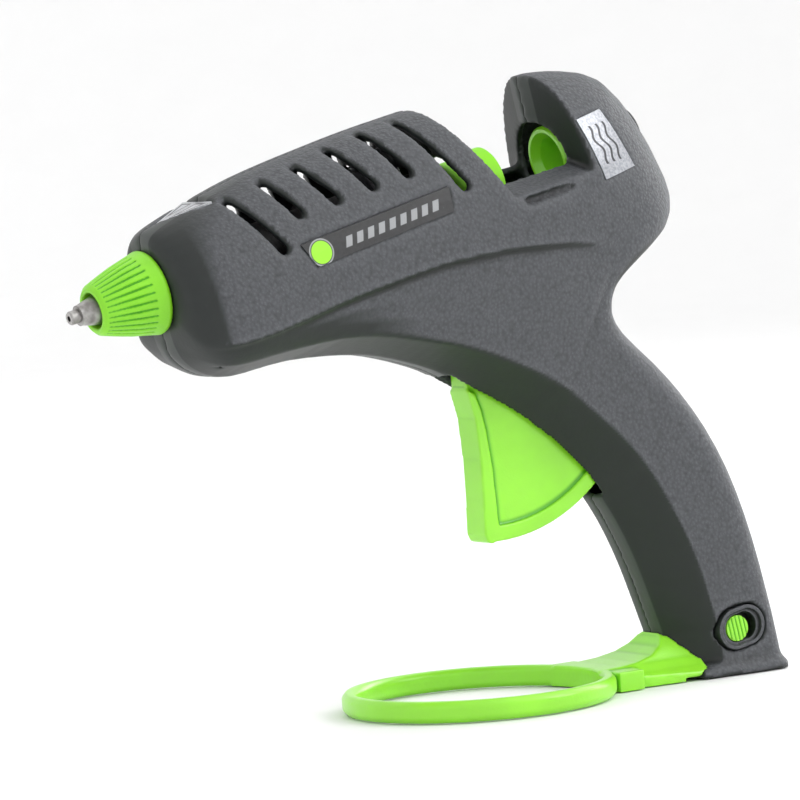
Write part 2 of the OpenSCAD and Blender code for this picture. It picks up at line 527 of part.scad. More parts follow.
// Trigger: hub, forked arm, web with a thick front grip and a rim about the pivot
rim_end = -56.3;
rim_start = -104.5;
function rim_point(a, r) = pivot + r * [cos(a), sin(a)];
function rim_arc(r) = [for (k = [0:12]) rim_point(mix(rim_start, rim_end, k / 12), r)];
module trigger() color(lime) gun_frame() difference() {
    union() {
        across(8) polygon(concat([[113, -42], [111, -52], [111.6, -61.5], [110.2, -73],
                                  [108.2, -84], [106.6, -94]],
                                 rim_arc(rim_r - 0.6), [[127, -50], [123, -41]]));
        across(10) polygon(concat(rim_arc(rim_r), [for (k = [12:-1:0]) rim_arc(rim_r - 4.2)[k]]));
        across(10) polygon([[110.6, -53], [111, -61.5], [109.5, -73], [107.3, -84], [105.1, -93.4],
                            [105.5, -95.6], [106.9, -96.5], [108.9, -96], [109.9, -94],
                            [110.8, -88], [112.6, -76.4], [113.5, -66], [113.5, -60], [112.8, -55]]);
        translate([pivot[0], 5, pivot[1]]) rotate([90, 0, 0]) cylinder(h = 10, r = 5.6);
        translate([pivot[0], 0, pivot[1]]) rotate([0, arm_rest, 0]) across(7)
            polygon([[-5, 0], [5, 0], [4.5, arm_len + 3.6], [-4.5, arm_len + 3.6]]);
    }
    translate([pivot[0], 10, pivot[1]]) rotate([90, 0, 0]) cylinder(h = 20, r = 2.5 + running_gap);
    translate([pivot[0], 0, pivot[1]]) rotate([0, arm_rest, 0])
        translate([-pin_r - running_gap, -10, arm_len - 3]) cube([2 * (pin_r + running_gap), 20, 20]);
}
module trigger_pin() color(steel) gun_frame()
    translate([pivot[0], 12.9, pivot[1]]) rotate([90, 0, 0]) cylinder(h = 25.8, r = 2.5);

spring_t = -17.3;
post_s = 185;
module return_spring() color(steel) gun_frame() translate([0, 0, spring_t])
    swept_wire(helix(feed_ring_s + 9, post_s - 2.4, 2, 10, 10), 0.3, 5);
module spring_post() color(black) gun_frame() difference() {
    translate([post_s - 1.9, -4, spring_t - 4]) cube([2.4, 8, 8]);
    translate([post_s - 3, 0, spring_t]) rotate([0, 90, 0]) cylinder(h = 2, r = 1.2);
}

// ---- switch and wiring ----
knob_travel = 2.4;
module switch_bezel() color(casing_colour) gun_frame()
    translate([switch_at[0], -13.4, switch_at[1]]) rotate([90, 0, 0]) difference() {
        stadium_plate(switch_skin - 13.2, 7.9, 5.8);
        translate([0, 0, -1]) stadium_plate(9, 5.1 + 0.1, 3.9);
        translate([0, 0, switch_skin - 14]) stadium_plate(3, 6.6, 4.7);
    }
knob_r = 3.7;
module switch_knob() color(lime) gun_frame()
    translate([switch_at[0] - knob_travel / 2, -12.2, switch_at[1]]) rotate([90, 0, 0]) difference() {
        union() {
            cylinder(h = 4.2, r = knob_r);
            translate([-1.5, -1.5, -1.4]) cube([3, 3, 2]);
        }
        for (d = [-2:2]) translate([d * 1.3 - 0.2, -5, 3.8]) cube([0.4, 10, 1]);
    }
module switch_body() color(black) gun_frame()
    translate([switch_at[0], -12, switch_at[1]]) rotate([-90, 0, 0]) difference() {
        translate([-8.5, -5.4, 0]) cube([17, 10, 6]);
        translate([-3.2, -1.8, -1]) cube([6.4, 3.6, 3]);
    }
module switch_terminals() color([0.8, 0.65, 0.3]) gun_frame() for (s = [-4.5, 4.5])
    translate([switch_at[0] + s - 1, -6, switch_at[1] - 2]) cube([2, 3.4, 5]);
block_at = [172, -112];
module terminal_block() color([0.9, 0.9, 0.88]) gun_frame() difference() {
    translate([block_at[0] - 4.5, -6, block_at[1] - 4]) cube([9, 12, 8]);
    for (y = [-3, 3]) translate([block_at[0] - 5, y, block_at[1]])
        rotate([0, 90, 0]) cylinder(h = 10, r = 1.2);
}
lead_r = 1;
// Leads held inside the casing, by points [s, y, t]
feed_route = [[174.5, -3, -117.4], [175.4, -3, -122], [176.6, -3.6, -128], [177, -4, -133.5],
    [177, -4.2, -138.2]];
live_route = [[168, -4.2, -138.2], [169.6, -4.8, -132], [171.2, -7, -125], [170.8, -9, -118],
    [168.6, -9.8, -110], [166.6, -9.8, -101], [163.4, -10, -91], [159.4, -10, -80], [154.4, -10, -69.5],
    [148.4, -10, -60], [142.4, -10.2, -50.5], [136.4, -10.6, -41.5], [129.4, -11, -34],
    [120, -11.4, -29.4], [110, -11.4, -27.6], [102, -11, -27], [96.4, -9.6, -24],
    [93, -5.4, -19.4], [91.8, -3, -16.3]];
neutral_route = [[172, 4, -106.7], [171, 6, -102.6], [168.4, 8.6, -97.6], [164.6, 10, -90],
    [159.6, 10, -80], [154.4, 10, -69.5], [148.4, 10, -60], [142.4, 10.2, -50.5], [136.4, 10.6, -41.5],
    [129.4, 11, -34], [120, 11.4, -29.4], [111, 11.6, -27.6], [104.4, 12, -26.8],
    [101.8, 12, -22], [101, 11.4, -16], [99.4, 11, -13]];
link_route = [[82.8, 11, -13], [80.8, 11, -15.4], [81.4, 10.6, -19.4], [84.8, 9.4, -21.4],
    [89.6, 6.8, -20.6], [92, 4, -17], [91.8, 3, -12.5]];
module lead(route) swept_wire([for (x = [0:0.5:len(route) - 1]) along(route, x)], lead_r, 6);
module lead_feed() color([0.35, 0.2, 0.1]) gun_frame() lead(feed_route);
module lead_live() color([0.35, 0.2, 0.1]) gun_frame() lead(live_route);
module lead_neutral() color([0.1, 0.25, 0.6]) gun_frame() lead(neutral_route);
module lead_link() color([0.85, 0.85, 0.8]) gun_frame() lead(link_route);

module cord_bush() color(black) translate([96, 0, cord_z]) rotate([0, 90, 0]) difference() {
    cylinder(h = 9.4, r = cord_bush_r);
    translate([0, 0, -1]) cylinder(h = 20, r = 3.4);
}
module cord_clamp() color(black) difference() {
    translate([85.6, 1.6, cord_z - 8.7]) cube([4.8, 2.6, 17.4]);
    for (z = [-6.6, 6.6]) translate([88, 10, cord_z + z]) rotate([90, 0, 0]) cylinder(h = 12, r = 1.1);
}
module clamp_screws() color(steel) for (z = [-6.6, 6.6])
    translate([88, 1.6, cord_z + z]) rotate([-90, 0, 0]) union() {
        translate([0, 0, -1.4]) cylinder(h = 1.4, r = 1.9);
        cylinder(h = 8, r = 0.88);
    }

// ---- stand: ring on the table with a shoe that hugs the handle's foot ----
ring_x = 11.1;
// Across the shoe: half breadth and height of its back, from the table up to the ridge
shoe_edge = [[17.4, 0], [17.4, 2], [14, 4], [11, 6.4], [8.5, 9.4], [6, 12.2], [3, 13.8], [0.6, 14.3]];
module foot_form(g) gun_frame() for (side = [0, 1]) mirror([0, side, 0])
    half_loft(concat([for (x = [28:1:last_key]) half_section(x, g, 4)],
                     [for (q = foot_steps) foot_section(q, g, 4)]));
module stand_ring() color(lime) difference() {
    union() {
        translate([ring_x, 0, 0]) rotate_extrude($fn = 128) translate([ring_r - ring_band, 0])
            polygon([[1, 0], [ring_band - 1.2, 0], [ring_band, 1.4], [ring_band, ring_h - 1.4],
                     [ring_band - 1.2, ring_h], [1, ring_h], [0, ring_h - 1.2], [0, 1.2]]);
        intersection() {
            translate([0, 50, 0]) rotate([90, 0, 0]) linear_extrude(100)
                polygon([[42, 0], [78, 0], [78, 16], [70.4, 16], [69, 12.4], [66.9, 9.9], [63.1, 7.9],
                         [57.4, 6.7], [51.5, 6.2], [42, ring_h]]);
            translate([40, 0, 0]) rotate([90, 0, 90]) linear_extrude(38)
                polygon([for (p = concat(shoe_edge, [for (k = [len(shoe_edge) - 1:-1:0])
                    [-shoe_edge[k][0], shoe_edge[k][1]]])) p]);
            linear_extrude(20) polygon([[42.3, -12.4], [48.3, -14.6], [56.3, -15.6], [66.3, -16.4],
                [78, -17.4], [78, 17.4], [66.3, 16.4], [56.3, 15.6], [48.3, 14.6], [42.3, 12.4]]);
        }
        for (y = [-18, 12]) translate([46.3, y, 0]) cube([8.5, 6, 5.6]);
    }
    translate([ring_x, 0, -1]) cylinder(h = 30, r = ring_r - ring_band, $fn = 128);
    foot_form(0.15);
    translate([69.3, -30, -1]) cube([40, 60, 2]);
}

// ---- inlays ----
module badge_left() color(black) gun_frame() side_inlay(badge_corners, 0.15, 0.75, 8, 2);
module badge_right() color(black) gun_frame() mirror([0, 1, 0])
    side_inlay(badge_corners, 0.15, 0.75, 8, 2);
module temp_label_left() color(steel) gun_frame() side_inlay(label_corners, 0.1, 0.75, 3, 4);
module temp_label_right() color(steel) gun_frame() mirror([0, 1, 0])
    side_inlay(label_corners, 0.1, 0.75, 3, 4);
module nose_mark() nose_plane() linear_extrude(0.7) polygon([[0.6, -0.15], [14.3, -0.15], [14.3, -8]]);
module nose_mark_left() color(steel) gun_frame() nose_mark();
module nose_mark_right() color(steel) gun_frame() mirror([0, 1, 0]) nose_mark();

left_shell();
right_shell();
housing_screws();
melt_chamber();
nozzle();
nozzle_cover();
check_ball();
check_spring();
ptc_heater();
electrodes();
heater_wrap();
thermal_fuse();
front_bracket();
rear_bracket();
stick_sleeve();
sleeve_clamp();
inlet_bush();
feed_carriage();
grip_jaw();
jaw_pin();
trigger();
trigger_pin();
return_spring();
spring_post();
switch_bezel();
switch_knob();
switch_body();
switch_terminals();
terminal_block();
lead_feed();
lead_live();
lead_neutral();
lead_link();
cord_bush();
cord_clamp();
clamp_screws();
stand_ring();
badge_left();
badge_right();
temp_label_left();
temp_label_right();
nose_mark_left();
nose_mark_right();
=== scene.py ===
import math

import bpy
import numpy as np
from mathutils import Matrix, Vector


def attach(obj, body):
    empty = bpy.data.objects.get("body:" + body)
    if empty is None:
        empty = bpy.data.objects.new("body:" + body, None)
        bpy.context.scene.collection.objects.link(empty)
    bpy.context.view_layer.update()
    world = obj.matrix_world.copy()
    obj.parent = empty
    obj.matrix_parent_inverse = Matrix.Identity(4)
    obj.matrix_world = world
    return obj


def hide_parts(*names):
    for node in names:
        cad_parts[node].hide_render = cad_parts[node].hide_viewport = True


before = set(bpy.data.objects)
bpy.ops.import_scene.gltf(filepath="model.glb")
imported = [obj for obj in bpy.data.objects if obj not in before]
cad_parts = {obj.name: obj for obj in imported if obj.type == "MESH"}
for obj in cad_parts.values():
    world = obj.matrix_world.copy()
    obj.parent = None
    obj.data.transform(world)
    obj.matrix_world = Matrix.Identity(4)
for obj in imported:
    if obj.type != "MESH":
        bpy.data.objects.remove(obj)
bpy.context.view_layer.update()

gun = {"tilt": math.radians(11.39), "tip": (-0.1077, 0.0, 0.118)}


def deselectAll():
    if bpy.context.object and bpy.context.object.mode != "OBJECT":
        bpy.ops.object.mode_set(mode="OBJECT")
    bpy.ops.object.select_all(action="DESELECT")


def pick(piece):
    deselectAll()
    piece.select_set(True)
    bpy.context.view_layer.objects.active = piece


# ---- camera ----
camera = {"target": (-0.0077, 0.0, 0.0868), "distance": 1.375, "azimuth": -31.017,
          "elevation": 3.861, "roll": -4.137, "lens": 225}


def placeCamera():
    a, e, r = (math.radians(camera[k]) for k in ("azimuth", "elevation", "roll"))
    back = Vector((math.sin(a) * math.cos(e), -math.cos(a) * math.cos(e), math.sin(e)))
    right = Vector((math.cos(a), math.sin(a), 0))
    up = back.cross(right)
    across = right * math.cos(r) + up * math.sin(r)
    above = up * math.cos(r) - right * math.sin(r)
    turn = Matrix((across, above, back)).transposed()
    spot = Vector(camera["target"]) + back * camera["distance"]
    bpy.ops.object.camera_add(location=spot, rotation=turn.to_euler())
    view = bpy.context.object
    view.data.lens = camera["lens"]
    view.data.sensor_width = 36
    view.data.clip_end = 20
    bpy.context.scene.camera = view


deselectAll()
placeCamera()
print("camera placed")


# ---- shader sums ----
class Wire:  # a shader socket that can stand in a Python sum
    def __init__(self, paint, socket):
        self.paint, self.socket = paint, socket

    def sum(self, operation, *values):
        return self.paint.add("ShaderNodeMath", {"operation": operation}, dict(enumerate(values)))

    def __add__(self, other):
        return self.sum("ADD", self, other)

    def __sub__(self, other):
        return self.sum("SUBTRACT", self, other)

    def __rsub__(self, other):
        return self.sum("SUBTRACT", other, self)

    def __mul__(self, other):
        return self.sum("MULTIPLY", self, other)

    def __truediv__(self, other):
        return self.sum("DIVIDE", self, other)

    __radd__, __rmul__ = __add__, __mul__

    def size(self):
        return self.sum("ABSOLUTE", self)

    def step(self, low, high):  # 0 below low, 1 above high, smooth between
        return self.paint.add("ShaderNodeMapRange", {"interpolation_type": "SMOOTHSTEP"},
                              {"Value": self, "From Min": low, "From Max": high})

    def most(self, other):
        return self.sum("MAXIMUM", self, other)

    def least(self, other):
        return self.sum("MINIMUM", self, other)

    def wave(self):
        return self.sum("SINE", self)

    def root(self):
        return self.sum("SQRT", self)


class Paint:  # one procedural material
    def __init__(self, name, **values):
        self.material = bpy.data.materials.new(name)
        self.material.use_nodes = True
        self.tree = self.material.node_tree
        self.shader = self.tree.nodes["Principled BSDF"]
        self.place = self.add("ShaderNodeTexCoord", {}, {}, "Object")
        self.set(**values)

    def add(self, kind, settings, values, output=0):
        node = self.tree.nodes.new(kind)
        for key, value in settings.items():
            setattr(node, key, value)
        for key, value in values.items():
            self.feed(node.inputs[key], value)
        return Wire(self, node.outputs[output])

    def feed(self, socket, value):
        if isinstance(value, Wire):
            self.tree.links.new(value.socket, socket)
        elif isinstance(value, tuple) and len(value) == 3 and socket.type == "RGBA":
            socket.default_value = (*value, 1)
        else:
            socket.default_value = value

    def set(self, **values):
        for key, value in values.items():
            self.feed(self.shader.inputs[key.replace("_", " ")], value)

    def blend(self, factor, first, second, way="MIX"):
        node = self.tree.nodes.new("ShaderNodeMix")
        node.data_type, node.blend_type = "RGBA", way
        for socket, value in zip((node.inputs[0], node.inputs[6], node.inputs[7]),
                                 (factor, first, second)):
            self.feed(socket, value)
        return Wire(self, node.outputs[2])

    def noise(self, scale, detail=2.0, roughness=0.5):
        return self.add("ShaderNodeTexNoise", {},
                        {"Vector": self.place, "Scale": scale, "Detail": detail,
                         "Roughness": roughness})

    def cells(self, scale, feature="F1"):
        return self.add("ShaderNodeTexVoronoi", {"feature": feature},
                        {"Vector": self.place, "Scale": scale})

    def mark(self, name):  # a value stored on the mesh
        return self.add("ShaderNodeAttribute", {"attribute_name": name}, {}, "Fac")

    def bump(self, height, depth):
        self.set(Normal=self.add("ShaderNodeBump", {},
                                 {"Height": height, "Distance": depth, "Strength": 1.0}))

    def axes(self):
        node = self.tree.nodes.new("ShaderNodeSeparateXYZ")
        self.feed(node.inputs[0], self.place)
        return [Wire(self, socket) for socket in node.outputs]

    def gunAxes(self):  # s, y and t of the shaded point
        x, y, z = self.axes()
        c, q = math.cos(gun["tilt"]), math.sin(gun["tilt"])
        ahead, above = x - gun["tip"][0], z - gun["tip"][2]
        return ahead * c + above * q, y, above * c - ahead * q


# ---- finishes ----
def grainedCasing():
    look = {"grained": (0.058, 0.061, 0.067), "smoothAndShade": (0.011, 0.014, 0.013),
            "strip": (0.045, 0.05, 0.048), "seam": (0.004, 0.004, 0.004), "stripEdge": 0.0046,
            "grainSize": 0.0009, "depth": 0.00028}
    paint = Paint("grainedCasing", Specular_IOR_Level=0.42)
    # grain mark: 0 on faces looking down or forward, which take the smooth colour painted darker as
    # shade
    grain = paint.mark("grain")
    shadeAndEdgeLight = paint.mark("shadeAndEdgeLight")
    side = paint.axes()[1].size()
    seam = 1 - side.step(0.00008, 0.0002)
    pebbles = paint.cells(1 / look["grainSize"], "SMOOTH_F1")
    fine = paint.noise(2600, 3)
    broad = paint.noise(70, 3)
    height = (1 - pebbles) * 0.8 + fine * 0.35
    edge = side.step(look["stripEdge"], look["stripEdge"] + 0.0006)
    # smooth faces: real smooth finish plus painted shade, a little lighter within stripEdge of the seam
    plainAndShade = paint.blend(edge, look["strip"], look["smoothAndShade"])
    tone = paint.blend(seam * 0.8, paint.blend(grain, plainAndShade, look["grained"]), look["seam"])
    # random tone and pebble grain, with painted shade in hollows and a painted highlight on outward
    # edges
    toneShadeAndEdgeLight = (broad - 0.5) * 0.16 + (height - 0.55) * grain * 1.1 + 1 - shadeAndEdgeLight * 0.5
    tint = paint.add("ShaderNodeCombineColor", {}, {0: toneShadeAndEdgeLight, 1: toneShadeAndEdgeLight, 2: toneShadeAndEdgeLight})
    paint.set(Base_Color=paint.blend(1, tone, tint, "MULTIPLY"),
              Roughness=0.44 + grain * 0.12 + broad * 0.06)
    paint.bump(height * (grain * 0.9 + 0.1), look["depth"])
    return paint.material


def limeMoulding(name, colour, roughness, coat, depth):
    paint = Paint(name, Coat_Roughness=0.25, Specular_IOR_Level=0.5,
                  Subsurface_Weight=0.12, Subsurface_Radius=(0.6, 1.0, 0.15), Subsurface_Scale=0.002)
    flow = paint.noise(45, 3)
    speckle = paint.noise(1500, 2)
    shadeAndEdgeLight = paint.mark("shadeAndEdgeLight")
    deep, grooveShade = tuple(c * 0.88 for c in colour), (colour[0] * 0.25, colour[1] * 0.5, 0.0)
    even = paint.blend(flow.step(0.35, 0.7), deep, colour)
    # grooves painted darker green as shade
    paint.set(Base_Color=paint.blend(shadeAndEdgeLight.most(0), even, grooveShade),
              Roughness=roughness + (speckle - 0.5) * 0.12, Coat_Weight=coat + (flow - 0.5) * 0.1)
    paint.bump(speckle + flow, depth)
    return paint.material


def sleeveShadedEnd():  # lime at the saddle; ahead of it, where it sits on the hot chamber, painted near black as shade
    paint = Paint("sleeveShadedEnd", Specular_IOR_Level=0.4)
    s = paint.gunAxes()[0]
    mottle = paint.noise(400, 4)
    # ahead of s = 0.117 the sleeve is painted near black: painted shade inside the casing, seen through
    # the last vent slot
    unshaded = (s + (mottle - 0.5) * 0.006).step(0.117, 0.122)
    paint.set(Base_Color=paint.blend(unshaded, (0.02, 0.017, 0.01), (0.25, 0.72, 0.015)),
              Roughness=0.5 + mottle * 0.2)
    paint.bump(mottle, 0.00004)
    return paint.material


def turnedSteel():
    paint = Paint("turnedSteel", Metallic=1.0)
    s = paint.gunAxes()[0]
    rings = (s * 26000).wave() * 0.5 + 0.5
    smear = paint.noise(300, 4)
    paint.set(Base_Color=paint.blend(smear.step(0.3, 0.7), (0.2, 0.19, 0.18), (0.42, 0.41, 0.4)),
              Roughness=0.24 + smear * 0.14)
    paint.bump(rings * 0.6 + smear, 0.00002)
    return paint.material


def plainMetal(name, dark, bright, roughness, scale, depth):
    paint = Paint(name, Metallic=1.0)
    cast = paint.noise(scale, 4, 0.6)
    paint.set(Base_Color=paint.blend(cast.step(0.3, 0.7), dark, bright),
              Roughness=roughness + (cast - 0.5) * 0.2)
    paint.bump(cast, depth)
    return paint.material


def plainPlastic(name, colour, roughness, scale=900, depth=0.00003, shift=0.25):
    paint = Paint(name)
    grain = paint.noise(scale, 3)
    broad = paint.noise(60, 2)
    low = tuple(c * (1 - shift) for c in colour)
    paint.set(Base_Color=paint.blend(broad.step(0.3, 0.7), low, colour),
              Roughness=roughness + (grain - 0.5) * 0.15)
    paint.bump(grain, depth)
    return paint.material


def wovenSleeve():
    paint = Paint("wovenGlass", Sheen_Weight=0.2)
    x, y, z = paint.axes()
    weave = (x * 5200).wave() * ((y + z) * 5200).wave() * 0.5 + 0.5
    paint.set(Base_Color=paint.blend(weave, (0.62, 0.6, 0.52), (0.85, 0.83, 0.76)),
              Roughness=0.7 + weave * 0.15)
    paint.bump(weave, 0.0001)
    return paint.material


def badgeInlay():
    look = {"disc": (0.0665, -0.0009), "discR": 0.0031, "bars": (0.0735, 0.1065), "pitch": 0.0036}
    paint = Paint("badgeInlay", Coat_Weight=0.3, Coat_Roughness=0.2)
    s, _, t = paint.gunAxes()
    ds, dt = s - look["disc"][0], t - look["disc"][1]
    ring = (ds * ds + dt * dt).root()
    disc = 1 - ring.step(look["discR"] - 0.0001, look["discR"] + 0.0001)
    middle = t - 0.0005 - (s - 0.09) * 0.058
    slant = (s - middle * 0.35) / look["pitch"]
    beat = slant.sum("FRACT", slant)
    bars = (beat - 0.5).size().step(0.2, 0.24) * (1 - middle.size().step(0.0013, 0.0015))
    bars = bars * s.step(look["bars"][0], look["bars"][0] + 0.0001)
    bars = bars * (1 - s.step(look["bars"][1], look["bars"][1] + 0.0001))
    ground = paint.blend(paint.noise(900).step(0.3, 0.7), (0.012, 0.012, 0.013),
                         (0.02, 0.02, 0.022))
    marked = paint.blend(bars, ground, (0.3, 0.31, 0.32))
    rim = (ring - look["discR"] * 1.14).size().step(0.0001, 0.0003)
    paint.set(Base_Color=paint.blend(disc, paint.blend(1 - rim, marked, (0.3, 0.31, 0.32)),
                                     (0.3, 0.75, 0.02)),
              Roughness=0.34 + paint.noise(1200) * 0.12)
    return paint.material


def heatLabel():
    look = {"centre": (0.1644, 0.0026), "pitch": 0.0026, "half": 0.0056}
    paint = Paint("heatLabel", Metallic=0.55)
    s, _, t = paint.gunAxes()
    up = t - look["centre"][1]
    side = s - look["centre"][0] + up * 0.27 + (up * 950).wave() * 0.0006
    lane = (side / look["pitch"] + 1.5)
    lines = 1 - (lane.sum("FRACT", lane) - 0.5).size().step(0.13, 0.18)
    lines = lines * (1 - side.size().step(look["pitch"] * 1.45, look["pitch"] * 1.5))
    lines = lines * (1 - up.size().step(look["half"], look["half"] + 0.0002))
    foil = paint.noise(1400, 3)
    silver = paint.blend(foil.step(0.3, 0.7), (0.26, 0.27, 0.29), (0.4, 0.41, 0.44))
    paint.set(Base_Color=paint.blend(lines, silver, (0.05, 0.05, 0.055)),
              Roughness=0.3 + foil * 0.12)
    return paint.material


def noseInlay():
    look = {"origin": (0.0318, 0.0162), "tilt": math.radians(9.5)}
    paint = Paint("noseInlay", Metallic=0.6)
    s, y, t = paint.gunAxes()
    c, q = math.cos(look["tilt"]), math.sin(look["tilt"])
    u = (s - look["origin"][0]) * c + (t - look["origin"][1]) * q
    v = y.size()
    edge = (0.0143 - u).least(v - 0.00015).least((u * 0.573 - v) * 0.868)
    inner = edge.step(0.0009, 0.0011) * (1 - edge.step(0.0016, 0.0018))
    foil = paint.noise(1400, 3)
    silver = paint.blend(foil.step(0.3, 0.7), (0.42, 0.43, 0.45), (0.6, 0.61, 0.64))
    paint.set(Base_Color=paint.blend(inner, silver, (0.05, 0.05, 0.055)), Roughness=0.3 + foil * 0.12)
    return paint.material


finishes = {
    "casing": grainedCasing(),
    "lime": limeMoulding("limeMoulding", (0.3, 0.8, 0.03), 0.32, 0.3, 0.00004),
    "silicone": limeMoulding("limeSilicone", (0.25, 0.72, 0.015), 0.46, 0.08, 0.00006),
    "sleeve": sleeveShadedEnd(),
    "steel": turnedSteel(),
    "zinc": plainMetal("zincScrews", (0.45, 0.45, 0.44), (0.68, 0.68, 0.66), 0.3, 700, 0.00002),
    "spring": plainMetal("springWire", (0.4, 0.4, 0.41), (0.62, 0.62, 0.63), 0.25, 900, 0.00001),
    "aluminium": plainMetal("castAluminium", (0.1, 0.1, 0.1), (0.2, 0.2, 0.2), 0.6, 350, 0.0001),
    "bracket": plainMetal("heatBluedSteel", (0.05, 0.05, 0.055), (0.12, 0.12, 0.13), 0.45, 500, 0.00003),
    "brass": plainMetal("brassPlate", (0.62, 0.48, 0.2), (0.82, 0.68, 0.36), 0.3, 500, 0.00002),
    "ceramic": plainPlastic("firedCeramic", (0.3, 0.26, 0.25), 0.6, 1800, 0.00006),
    "film": plainPlastic("amberFilm", (0.7, 0.33, 0.04), 0.25, 250, 0.00004),
    "glass": wovenSleeve(),
    "black": plainPlastic("blackPlastic", (0.022, 0.022, 0.025), 0.45),
    "white": plainPlastic("whitePlastic", (0.8, 0.8, 0.76), 0.45),
    "brown": plainPlastic("brownLead", (0.16, 0.06, 0.025), 0.5, 1200),
    "blue": plainPlastic("blueLead", (0.03, 0.1, 0.42), 0.5, 1200),
    "badge": badgeInlay(),
    "label": heatLabel(),
    "nose": noseInlay(),
}
nodeFinish = {
    "housing_screws": "zinc", "melt_chamber": "aluminium", "nozzle": "steel",
    "check_ball": "steel", "check_spring": "spring", "ptc_heater": "ceramic",
    "electrodes": "brass", "heater_wrap": "film", "thermal_fuse": "white",
    "front_bracket": "bracket", "rear_bracket": "bracket", "stick_sleeve": "sleeve",
    "sleeve_clamp": "spring", "inlet_bush": "black", "feed_carriage": "lime", "grip_jaw": "zinc",
    "jaw_pin": "zinc", "trigger_pin": "zinc", "return_spring": "spring", "spring_post": "black",
    "switch_body": "black", "switch_terminals": "brass", "terminal_block": "white",
    "lead_feed": "glass", "lead_live": "brown", "lead_neutral": "blue", "lead_link": "glass",
    "cord_bush": "black", "cord_clamp": "black", "clamp_screws": "zinc",
    "badge_left": "badge", "badge_right": "badge", "temp_label_left": "label",
    "temp_label_right": "label", "nose_mark_left": "nose", "nose_mark_right": "nose",
}
for node, finish in nodeFinish.items():
    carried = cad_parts[node]
    carried.data.materials.clear()
    carried.data.materials.append(finishes[finish])
print("finishes made", len(finishes))


# ---- moulded pieces, refined from the imported nodes ----
# how strongly grooves are painted dark as shade and outward edges painted light
shadeLightLook = {"gain": 14, "edge": -0.4, "spreads": 2}


def markShadeAndEdgeLight(piece):  # painted shade: 1 down in grooves; painted highlight: below 0 on outward edges
    mesh = piece.data
    count = len(mesh.vertices)
    spots, normals = np.empty(count * 3), np.empty(count * 3)
    ends = np.empty(len(mesh.edges) * 2, dtype=int)
    mesh.vertices.foreach_get("co", spots)
    mesh.vertices.foreach_get("normal", normals)
    mesh.edges.foreach_get("vertices", ends)
    spots, normals, ends = spots.reshape(-1, 3), normals.reshape(-1, 3), ends.reshape(-1, 2)
    sums, ways = np.zeros((count, 3)), np.zeros(count)
    for near, far in ((0, 1), (1, 0)):
        np.add.at(sums, ends[:, near], spots[ends[:, far]])
        np.add.at(ways, ends[:, near], 1)
    lengths = np.linalg.norm(spots[ends[:, 0]] - spots[ends[:, 1]], axis=1).mean()
    bend = ((sums / np.maximum(ways, 1)[:, None] - spots) * normals).sum(axis=1) / lengths
    for _ in range(shadeLightLook["spreads"]):
        spread = np.zeros(count)
        np.add.at(spread, ends[:, 0], bend[ends[:, 1]])
        np.add.at(spread, ends[:, 1], bend[ends[:, 0]])
        bend = 0.5 * bend + 0.5 * spread / np.maximum(ways, 1)
    mark = mesh.attributes.new("shadeAndEdgeLight", "FLOAT", "POINT")
    mark.data.foreach_set("value", np.clip(bend * shadeLightLook["gain"], shadeLightLook["edge"], 1))


underHood = {"s": (0.152, 0.195), "t": (-0.052, -0.014), "wall": 0.0018}


def thickenUnderHood(piece):  # the wall thins where the hood turns into the handle
    c, q = math.cos(gun["tilt"]), math.sin(gun["tilt"])
    pick(piece)
    bpy.ops.object.mode_set(mode="EDIT")
    bpy.ops.mesh.select_mode(type="FACE")
    bpy.ops.mesh.select_all(action="DESELECT")
    bpy.ops.object.mode_set(mode="OBJECT")
    for face in piece.data.polygons:
        ahead, above = face.center.x - gun["tip"][0], face.center.z - gun["tip"][2]
        s, t = ahead * c + above * q, above * c - ahead * q
        fall = face.normal.x * q - face.normal.z * c
        face.select = (underHood["s"][0] < s < underHood["s"][1]
                       and underHood["t"][0] < t < underHood["t"][1] and fall > 0.15)
    bpy.ops.object.mode_set(mode="EDIT")
    bpy.ops.mesh.duplicate_move()
    bpy.ops.mesh.separate(type="SELECTED")
    bpy.ops.object.mode_set(mode="OBJECT")
    patch = [o for o in bpy.context.selected_objects if o is not piece][0]
    pick(patch)
    solid = patch.modifiers.new("wall", "SOLIDIFY")
    solid.thickness, solid.offset = underHood["wall"], -1
    bpy.ops.object.modifier_apply(modifier="wall")
    piece.select_set(True)
    bpy.context.view_layer.objects.active = piece
    bpy.ops.object.join()


softening = {"merge": 0.000002, "factor": 0.5, "quickAngle": math.radians(32)}


def mouldedCopy(node, name, finish, body, voxel, rounds):
    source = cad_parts[node]
    piece = bpy.data.objects.new(name, source.data.copy())
    bpy.context.collection.objects.link(piece)
    piece.data.name = name
    pick(piece)
    bpy.ops.object.mode_set(mode="EDIT")
    bpy.ops.mesh.select_all(action="SELECT")
    bpy.ops.mesh.remove_doubles(threshold=softening["merge"])
    bpy.ops.object.mode_set(mode="OBJECT")
    if node.endswith("shell"):
        thickenUnderHood(piece)
    remesh = piece.modifiers.new("remesh", "REMESH")
    remesh.mode, remesh.voxel_size = "VOXEL", voxel
    bpy.ops.object.modifier_apply(modifier="remesh")
    soften = piece.modifiers.new("soften", "SMOOTH")
    soften.factor, soften.iterations = softening["factor"], rounds
    bpy.ops.object.modifier_apply(modifier="soften")
    bpy.ops.object.shade_smooth()
    piece.data.materials.clear()
    piece.data.materials.append(finishes[finish])
    markShadeAndEdgeLight(piece)
    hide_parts(node)
    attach(piece, body)
    print(name, len(piece.data.polygons), "faces")
    return piece


grainShadeLimits = {"plainShadedFrom": 0.42, "fade": 0.14}


